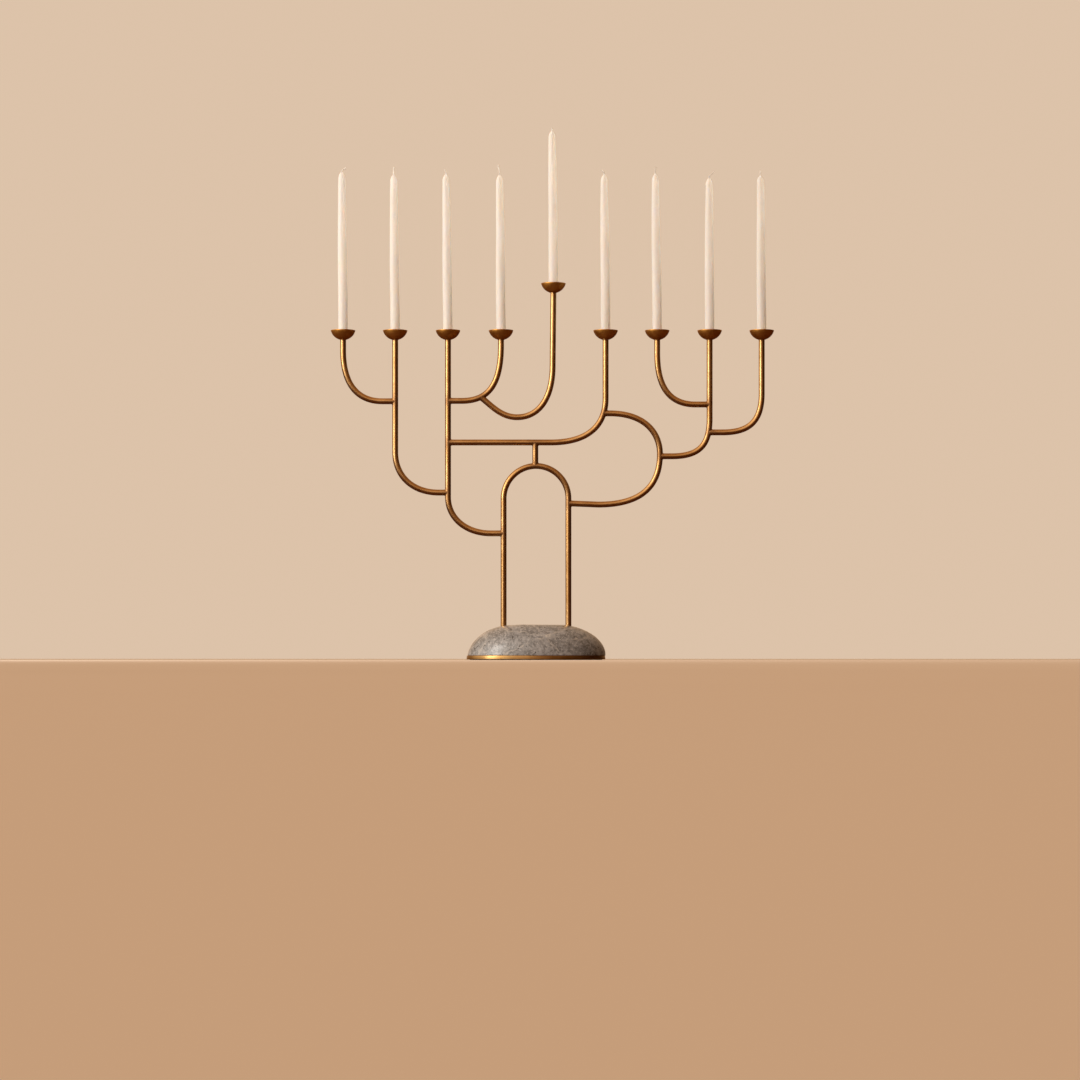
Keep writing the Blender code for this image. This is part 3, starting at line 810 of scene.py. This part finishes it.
def build_rods():
    """Every rod, with each end shaped for what it meets: a cup, another rod or the base."""
    routes = {name: bent_route(name) for name in BENT_BRANCHES}
    routes["shamash_branch"] = shamash_route()
    routes["loop_branch"] = loop_route()
    routes["arch"] = arch_route()
    routes["strut"] = strut_route()
    ends = {name: ("cup", branch[-1]) for name, branch in BENT_BRANCHES.items()}
    ends["shamash_branch"] = ("cup", "left_inner_branch")
    ends["loop_branch"] = ("arch", "crossbar_branch")
    ends["strut"] = ("arch", "crossbar_branch")
    ends["arch"] = (None, None)
    joints = []
    for name, (start, finish) in ends.items():
        if start in routes:
            joints.append(routes[name].points[0])
        if finish in routes:
            joints.append(routes[name].points[-1])
    for seed, (name, (start, finish)) in enumerate(ends.items()):
        route = routes[name]
        shapes = []
        for at_start, end in ((True, start), (False, finish)):
            if end == "cup":
                shapes.append(cup_end(route))
            elif end is None:
                shapes.append(cut_end())
            else:
                shapes.append(join_end(route, routes[end], at_start))
        rod = rod_piece(name, route, *shapes, joints, seed)
        stand_in(rod, name, "root")


# Cups, sleeves, candles and wicks


def bowl_arc(low_radius, high_radius, low_z, high_z):
    """Points up the bowl's sphere between two heights above the seat."""
    centre_z = math.sqrt(BOWL_SPHERE_RADIUS**2 - BOWL_SEAT_RADIUS**2)
    low_angle = math.asin((low_z - centre_z) / low_radius)
    high_angle = math.asin((high_z - centre_z) / high_radius)
    points = []
    for share in np.linspace(0, 1, BOWL_ARC_POINTS):
        angle = low_angle + (high_angle - low_angle) * share
        radius = low_radius + (high_radius - low_radius) * share
        points.append((radius * math.cos(angle), centre_z + radius * math.sin(angle)))
    return points


def cup_piece(number):
    """A thin bowl, slightly uneven towards its rounded lip, with a hole for the spigot."""
    low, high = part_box(f"cup_{number}")
    seat_x, seat_z = cup_place(number)
    lip_z = high.z - low.z - BOWL_LIP / 2
    outer = bowl_arc(BOWL_SPHERE_RADIUS, BOWL_SPHERE_RADIUS, 0.0, lip_z)
    inner_radii = BOWL_SPHERE_RADIUS - BOWL_WALL, BOWL_SPHERE_RADIUS - BOWL_LIP
    inner = bowl_arc(*inner_radii, BOWL_WALL, lip_z)
    middle = (outer[-1][0] + inner[-1][0]) / 2
    half_lip = (outer[-1][0] - inner[-1][0]) / 2
    lip = []
    for angle in np.linspace(0, math.pi, BOWL_LIP_POINTS)[1:-1]:
        lip.append((middle + half_lip * math.cos(angle), lip_z + half_lip * math.sin(angle)))
    hole = [(SPIGOT_HOLE_RADIUS, BOWL_WALL), (SPIGOT_HOLE_RADIUS, 0.0)]
    rings = turned([*outer, *lip, *reversed(inner), *hole], BOWL_SIDES)
    angle = np.arange(BOWL_SIDES) * 2 * math.pi / BOWL_SIDES
    rise = np.clip(rings[..., 2] / lip_z, 0, 1) ** 2
    dents = bumps(rings + (number * MM, 0, 0), BOWL_DENT_SIZE, number) * BOWL_DENTS - BOWL_DENTS
    third = BOWL_THIRD_LOBE * np.cos(3 * angle + BOWL_LOBE_PHASE * number)
    lobes = np.cos(2 * angle + number) + third
    most = 1 + BOWL_THIRD_LOBE
    oval = (lobes - most) / (2 * most)
    inwards = 1 + (oval * BOWL_WOBBLE + dents) * rise / BOWL_SPHERE_RADIUS
    rings[..., :2] *= inwards[..., None]
    tilt = np.cos(angle + BOWL_TILT_PHASE * number)
    rings[..., 2] += tilt * rise * BOWL_WOBBLE * BOWL_TILT
    return closed_skin(f"cup_{number}_bowl", rings + (seat_x, 0, seat_z), bronze, hollow=True)


def sleeve_piece(number):
    """A short tube with a floor and a tapered foot, standing in its cup."""
    seat_x, seat_z = cup_place(number)
    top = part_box(f"candle_sleeve_{number}")[1].z - seat_z
    edge = SLEEVE_EDGE
    profile = [
        (SPIGOT_HOLE_RADIUS, SLEEVE_FOOT_Z),
        (SLEEVE_FOOT_RADIUS, SLEEVE_FOOT_Z),
        (SLEEVE_OUTER_RADIUS, SLEEVE_SHOULDER_Z),
        *quarter_round(SLEEVE_OUTER_RADIUS - edge, top - edge, edge, 0),
        *quarter_round(SLEEVE_BORE_RADIUS + edge, top - edge, edge, 90),
        (SLEEVE_BORE_RADIUS, SLEEVE_FLOOR_Z),
        (SPIGOT_HOLE_RADIUS, SLEEVE_FLOOR_Z),
    ]
    rings = turned(profile, SLEEVE_SIDES) + (seat_x, 0, seat_z)
    return closed_skin(f"candle_sleeve_{number}_tube", rings, sleeve_brass, hollow=True)


def candle_profile(length):
    """Radius and height from the rounded foot, up the taper and the tip, to the wick."""
    body_top = length - CANDLE_CONE_HEIGHT
    taper, cone, neck = [], [], []
    for share in np.linspace(0, 1, CANDLE_RINGS)[1:]:
        narrowing = (CANDLE_BASE_RADIUS - CANDLE_SHOULDER_RADIUS) * share**CANDLE_TAPER_POWER
        taper.append((CANDLE_BASE_RADIUS - narrowing, share * body_top))
    for share in np.linspace(1, 0, CANDLE_CONE_RINGS)[1:]:
        fullness = math.sin(share * math.pi / 2) ** CANDLE_CONE_POWER
        swell = (CANDLE_SHOULDER_RADIUS - CANDLE_TIP_RADIUS) * fullness
        cone.append((CANDLE_TIP_RADIUS + swell, length - share * CANDLE_CONE_HEIGHT))
    for share in np.linspace(0, 1, CANDLE_NECK_RINGS)[1:]:
        narrowing = (CANDLE_TIP_RADIUS - CANDLE_NECK_RADIUS) * (1 - (1 - share) ** 2)
        neck.append((CANDLE_TIP_RADIUS - narrowing, length + share * CANDLE_NECK_HEIGHT))
    edge = CANDLE_FOOT_EDGE
    foot = quarter_round(CANDLE_BASE_RADIUS - edge, edge, edge, -90)
    return [*foot, *taper, *cone, *neck]


def candle_lean(number):
    """How far a candle leans to the left, and how far that lifts the middle of its foot."""
    lean = math.radians(CANDLES[number][0])
    return lean, CANDLE_BASE_RADIUS * math.sin(lean)


def candle_frame(number):
    """The candle's own axes: its foot on the sleeve's floor, its axis leaning to the left."""
    low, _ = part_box(f"candle_{number}")
    seat_x, _ = cup_place(number)
    lean, foot_rise = candle_lean(number)
    foot = Matrix.Translation((seat_x, 0.0, low.z + foot_rise))
    return foot @ Matrix.Rotation(-lean, 4, "Y")


def candle_length(number):
    low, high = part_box(f"candle_{number}")
    _, foot_rise = candle_lean(number)
    return high.z - low.z - foot_rise


def moved(points, matrix):
    turn = np.array(matrix.to_3x3())
    return points @ turn.T + np.array(matrix.translation)


def candle_piece(number):
    """A hand-dipped candle: faintly rippled and not quite straight above its sleeve."""
    length = candle_length(number)
    rings = turned(candle_profile(length), CANDLE_SIDES)
    height = rings[..., 2]
    places = rings / (1, 1, CANDLE_RIPPLE_STRETCH) + (0, 0, number)
    ripple = bumps(places, CANDLE_RIPPLE_SIZE, number)
    above_foot = np.clip((height - CANDLE_STRAIGHT_FOOT) / CANDLE_FOOT_EASE, 0, 1)
    below_tip = np.clip((length - height) / CANDLE_TIP_EASE, 0, 1)
    free = above_foot * below_tip
    rings[..., :2] *= (1 + ripple * free * CANDLE_WAVINESS / CANDLE_BASE_RADIUS)[..., None]
    turn = height * 2 * math.pi / length
    rings[..., 0] += np.sin(turn + number) * free * CANDLE_SWAY
    rings[..., 1] += np.cos(turn + CANDLE_SWAY_PHASE * number) * free * CANDLE_SWAY
    return closed_skin(f"candle_{number}_wax", moved(rings, candle_frame(number)), wax)


def wick_piece(number):
    """Twisted strands from inside the wax, bending over to the free end, fused by wax."""
    _, lean_mm, rise_mm, parting_mm = CANDLES[number]
    lean, rise, parting = lean_mm * MM, rise_mm * MM, parting_mm * MM
    neck_z = WICK_NECK_SHARE * rise
    share = np.linspace(0, 1, WICK_POINTS)[:, None]
    rest = 1 - share
    neck, end = np.array((0.0, neck_z)), np.array((lean, rise))
    handles = neck + (0.0, WICK_PULL_SHARE * rise), end * (1 - WICK_PULL_SHARE)
    between = 3 * share * rest * (rest * handles[0] + share * handles[1])
    curl = rest**3 * neck + between + share**3 * end
    route = Route((0.0, -WICK_ROOT), curl)
    distance = np.linspace(0, route.length, WICK_POINTS)
    free = np.clip(distance / route.length, 0, 1)
    centre = np.stack([np.interp(distance, route.marks, route.points[:, axis]) for axis in (0, 1)])
    ahead = np.stack([np.interp(distance, route.marks, route.ahead[:, axis]) for axis in (0, 1)])
    across = np.array([-ahead[1], np.zeros(WICK_POINTS), ahead[0]]).T
    depth = np.array([0.0, 1.0, 0.0])
    middle = np.array([centre[0], np.zeros(WICK_POINTS), centre[1]]).T
    around = np.arange(WICK_SIDES) * 2 * math.pi / WICK_SIDES
    work = bmesh.new()
    for strand in range(WICK_STRANDS):
        twist = 2 * math.pi * (distance / WICK_TWIST_PITCH + strand / WICK_STRANDS) + number
        away = WICK_STRAND_OFFSET + parting * free**3
        offset = away[:, None] * (np.cos(twist)[:, None] * across + np.sin(twist)[:, None] * depth)
        radius = WICK_STRAND_RADIUS * (WICK_FOOT_SWELL - WICK_THINNING * free)
        spokes = np.cos(around)[:, None, None] * across + np.sin(around)[:, None, None] * depth
        rings = (middle + offset)[:, None] + radius[:, None, None] * spokes.transpose(1, 0, 2)
        piece = closed_skin("strand", rings, cotton)
        work.from_mesh(piece.data)
        bpy.data.objects.remove(piece)
    mesh = bpy.data.meshes.new("strands")
    work.to_mesh(mesh)
    work.free()
    length = candle_length(number)
    mesh.transform(candle_frame(number) @ Matrix.Translation((0.0, 0.0, length)))
    wick = finish_mesh(f"wick_{number}_strands", mesh, cotton)
    remesh = wick.modifiers.new("Fuse strands", "REMESH")
    remesh.mode = "VOXEL"
    remesh.voxel_size = WICK_VOXEL
    remesh.use_smooth_shade = True
    return baked(wick)


def build_cup_stacks():
    for number in CANDLES:
        lifted = f"lift_out_candle_{number}"
        stand_in(cup_piece(number), f"cup_{number}", "root")
        stand_in(sleeve_piece(number), f"candle_sleeve_{number}", "root")
        stand_in(candle_piece(number), f"candle_{number}", lifted)
        stand_in(wick_piece(number), f"wick_{number}", lifted)


# Base


def stone_profile(low, high):
    """From the middle of the top, out over the shoulder and down to the flat underside."""
    half_width = high.x
    top = [(radius, high.z) for radius in np.linspace(0, STONE_FLAT_X, STONE_TOP_RINGS)[1:-1]]
    share = np.linspace(0, 1, STONE_SHOULDER_RINGS)[:, None]
    rest = 1 - share
    flat_end = np.array((STONE_FLAT_X, high.z))
    shoulder_handle = np.array((STONE_SHOULDER_X, high.z))
    side_handle = np.array((half_width, low.z + STONE_SIDE_RISE))
    foot = np.array((half_width, low.z + STONE_FOOT_EDGE))
    handles = rest * shoulder_handle + share * side_handle
    shoulder = rest**3 * flat_end + 3 * share * rest * handles + share**3 * foot
    edge = quarter_round(half_width - STONE_FOOT_EDGE, low.z + STONE_FOOT_EDGE, STONE_FOOT_EDGE, -90)
    return [*top, *map(tuple, shoulder), *reversed(edge[:-1])]


def stone_piece():
    """The dome: an oval turned shape, uneven and pitted like hand-finished stone."""
    low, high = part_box("stone_base")
    low.z -= STONE_SEATING
    rings = turned(stone_profile(low, high), STONE_SIDES)
    rings[..., 1] *= (high.y - low.y) / (high.x - low.x)
    height = np.clip((rings[..., 2] - low.z) / (high.z - low.z), 0, 1)
    leftness = np.clip(-rings[..., 0] / STONE_LEFT_START, 0, 1)
    trim = STONE_LEFT_TRIM + STONE_LEFT_HOLLOW * np.sin(height * math.pi)
    rings[..., 0] *= 1 - leftness * trim
    outward = rings * (1, 1, 0)
    outward = outward / np.maximum(np.linalg.norm(outward, axis=-1, keepdims=True), 1e-9)
    upward = np.clip(height * (1 + STONE_UPWARD_START) - STONE_UPWARD_START, 0, 1)
    upward = upward[..., None] * (0, 0, 1)
    direction = outward * (1 - upward[..., 2:]) + upward
    lumps = STONE_LUMP_SHARE * bumps(rings, STONE_LUMP_SIZE, 4)
    swell = bumps(rings, STONE_SWELL_SIZE, 3) + lumps - STONE_LUMP_SHARE
    grain = bumps(rings, STONE_GRAIN_SIZE, 5)
    pit = bumps(rings, STONE_PIT_SIZE, 6) - STONE_PIT_START
    pit = np.clip(pit, 0, STONE_PIT_RANGE) / STONE_PIT_RANGE
    pitted = bumps(rings, STONE_PITTED_SIZE, 7) * STONE_PITTED_CONTRAST + STONE_PITTED_SHARE
    pit = pit * np.clip(pitted, 0, 1)
    depth = swell * STONE_SWELL + grain * STONE_GRAIN - pit * STONE_PIT_DEPTH
    rings += direction * depth[..., None] * np.clip(height * STONE_CALM_FOOT, 0, 1)[..., None]
    rings[..., 1] = np.clip(rings[..., 1], low.y, high.y)
    stone = closed_skin("stone_dome", rings, stone_finish)
    leg_low, leg_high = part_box("arch")
    for x in (leg_low.x + ROD_RADIUS, leg_high.x - ROD_RADIUS):
        drill_leg_hole(stone, x, low.z, high.z)
    return baked(stone)


def drill_leg_hole(stone, x, bottom, top):
    """A hole right through for one leg, with its upper edge eased."""
    radius = ROD_RADIUS + LEG_HOLE_CLEARANCE
    points = [vertex.co for vertex in stone.data.vertices]
    surface = max(p.z for p in points if math.hypot(p.x - x, p.y) < 2 * ROD_RADIUS)
    profile = [
        (radius, bottom - DRILL_BELOW),
        (radius, surface - LEG_HOLE_CHAMFER),
        (radius + 2 * LEG_HOLE_CHAMFER, surface + LEG_HOLE_CHAMFER),
        (radius + 2 * LEG_HOLE_CHAMFER, top + DRILL_ABOVE),
    ]
    drill = closed_skin("drill", turned(profile, SLEEVE_SIDES) + (x, 0, 0), stone_finish)
    cut = stone.modifiers.new("Leg hole", "BOOLEAN")
    cut.operation = "DIFFERENCE"
    cut.solver = "EXACT"
    cut.object = drill
    baked(stone)
    bpy.data.objects.remove(drill)


def plate_piece():
    """The brass plate: an oval with a bevelled side and rounded edges."""
    low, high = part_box("base_plate")
    low.z -= PLATE_SEATING
    edge = min(PLATE_EDGE, (high.z - low.z) / 2)
    reach = high.x
    lower = quarter_round(reach - edge, low.z + edge, edge, -90, PLATE_EDGE_RINGS)
    upper = quarter_round(reach - PLATE_DRAFT - edge, high.z - edge, edge, 0, PLATE_EDGE_RINGS)
    inside = [reach * share for share in PLATE_INNER_SHARES]
    bottom = [(radius, low.z) for radius in inside]
    top = [(radius, high.z) for radius in reversed(inside)]
    rings = turned([*bottom, *lower, *upper, *top], PLATE_SIDES)
    rings[..., 1] *= (high.y - low.y) / (high.x - low.x)
    return closed_skin("base_plate_oval", rings, plate_brass)


def felt_piece():
    """The felt pad: a thin oval with a slightly frayed edge."""
    low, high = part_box("felt_pad")
    reaches = [high.x * share for share in FELT_SHARES]
    bottom = [(reach, low.z) for reach in reaches]
    top = [(reach, high.z) for reach in reversed(reaches)]
    rings = turned([*bottom, *top], PLATE_SIDES)
    rings[..., 1] *= (high.y - low.y) / (high.x - low.x)
    fray = (bumps(rings, FELT_FRAY_SIZE, 8) - 1) * FELT_FRAY / high.x
    rings[..., :2] *= (1 + fray)[..., None]
    return closed_skin("felt_pad_oval", rings, felt)


def build_base():
    stand_in(stone_piece(), "stone_base", "root")
    stand_in(plate_piece(), "base_plate", "root")
    stand_in(felt_piece(), "felt_pad", "root")
    steel = zinc_steel()
    for side in ("left", "right"):
        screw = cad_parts[f"base_screw_{side}"]
        screw.data.materials.clear()
        screw.data.materials.append(steel)


# Floor, light and camera


def build_floor():
    """A wide pale floor, seen only from above."""
    mesh = bpy.data.meshes.new("floor")
    corners = [(-1, -1), (1, -1), (1, 1), (-1, 1)]
    points = [(x * FLOOR_REACH, y * FLOOR_REACH, -FLOOR_DROP) for x, y in corners]
    mesh.from_pydata(points, [], [(0, 1, 2, 3)])
    floor = bpy.data.objects.new("floor", mesh)
    bpy.context.scene.collection.objects.link(floor)
    finish = Finish("pale_floor", {"Roughness": 0.9, "Specular IOR Level": 0.0})
    pale = finish.blend(finish.noise(FLOOR_CLOUDS), *FLOOR_COLOURS)
    to_camera = finish.add("ShaderNodeLightPath", {}).outputs["Is Camera Ray"]
    finish.paint(Base_Color=finish.blend(to_camera, FLOOR_GLOW, pale))
    clear = finish.add("ShaderNodeBsdfTransparent", {}).outputs[0]
    facing = finish.add("ShaderNodeNewGeometry", {}).outputs["Backfacing"]
    one_sided = finish.add("ShaderNodeMixShader", {0: facing, 1: finish.shader.outputs[0], 2: clear})
    output = finish.tree.nodes["Material Output"]
    finish.connect(output, {"Surface": one_sided.outputs[0]})
    mesh.materials.append(finish.material)
    floor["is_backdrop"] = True


def build_world():
    """A pale backdrop for the camera, and what the metal reflects: dark, with a few glows."""
    world = bpy.data.worlds.new("studio")
    bpy.context.scene.world = world
    world.use_nodes = True
    world.node_tree.nodes.clear()
    nodes = Nodes(world.node_tree)
    direction = nodes.add("ShaderNodeTexCoord", {}).outputs["Generated"]

    def glow(towards, low, high, colour):
        along = nodes.vector_math("DOT_PRODUCT", direction, towards)
        return nodes.blend(nodes.remap(along, low, high), (0.0, 0.0, 0.0), colour)

    total = DARK_ROOM
    for surrounding in SURROUNDINGS:
        total = nodes.blend(1.0, total, glow(*surrounding), "ADD")
    height = nodes.add("ShaderNodeSeparateXYZ", {0: direction}).outputs["Z"]
    above_table = nodes.remap(height, *LIT_WALL_FOOT)
    total = nodes.blend(above_table, total, glow(*LIT_WALL), "ADD")
    unseen = nodes.add("ShaderNodeBackground", {"Color": total, "Strength": 1.0})
    seen = nodes.add("ShaderNodeBackground", {"Color": BACKDROP, "Strength": 1.0})
    to_camera = nodes.add("ShaderNodeLightPath", {}).outputs["Is Camera Ray"]
    sockets = {0: to_camera, 1: unseen.outputs[0], 2: seen.outputs[0]}
    both = nodes.add("ShaderNodeMixShader", sockets)
    nodes.add("ShaderNodeOutputWorld", {"Surface": both.outputs[0]})


def build_lights():
    """A tall soft light to the left of the camera, and a gridded fill on the candles' right."""
    soft_light("key", *KEY_LIGHT)
    fill = soft_light("fill", *FILL_LIGHT)
    fill.data.spread = FILL_SPREAD
    fill.visible_glossy = False


def soft_light(name, place, size, watts, colour):
    """A rectangle of light, upright, facing the menorah's axis."""
    data = bpy.data.lights.new(name, "AREA")
    data.shape = "RECTANGLE"
    data.size, data.size_y = size
    data.energy = watts
    data.color = colour
    light = bpy.data.objects.new(name, data)
    bpy.context.scene.collection.objects.link(light)
    light.location = place
    facing = Vector((0.0, 0.0, place[2])) - light.location
    light.rotation_mode = "QUATERNION"
    light.rotation_quaternion = facing.to_track_quat("-Z", "Y")
    light.visible_camera = False
    return light


def build_camera():
    """A long lens, level with the foot of the menorah and square to its front."""
    data = bpy.data.cameras.new("camera")
    data.lens = CAMERA_LENS
    data.sensor_width = CAMERA_SENSOR
    data.shift_y = CAMERA_SHIFT
    data.clip_start = MM
    camera = bpy.data.objects.new("camera", data)
    bpy.context.scene.collection.objects.link(camera)
    camera.location = CAMERA_PLACE
    camera.rotation_euler = (math.radians(90), 0.0, 0.0)
    bpy.context.scene.camera = camera


brass = drawn_brass()
bronze = patinated_bronze()
sleeve_brass = turned_brass()
plate_brass = polished_brass()
stone_finish = grey_stone()
wax = ivory_wax()
cotton = waxed_cotton()
felt = brown_felt()

build_rods()
build_cup_stacks()
build_base()
build_floor()
build_world()
build_lights()
build_camera()
bpy.context.scene.view_settings.view_transform = "Standard"

boxes = {"cad": cad_box, "visual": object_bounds()}
{name: [list(corner) for corner in box] for name, box in boxes.items()}
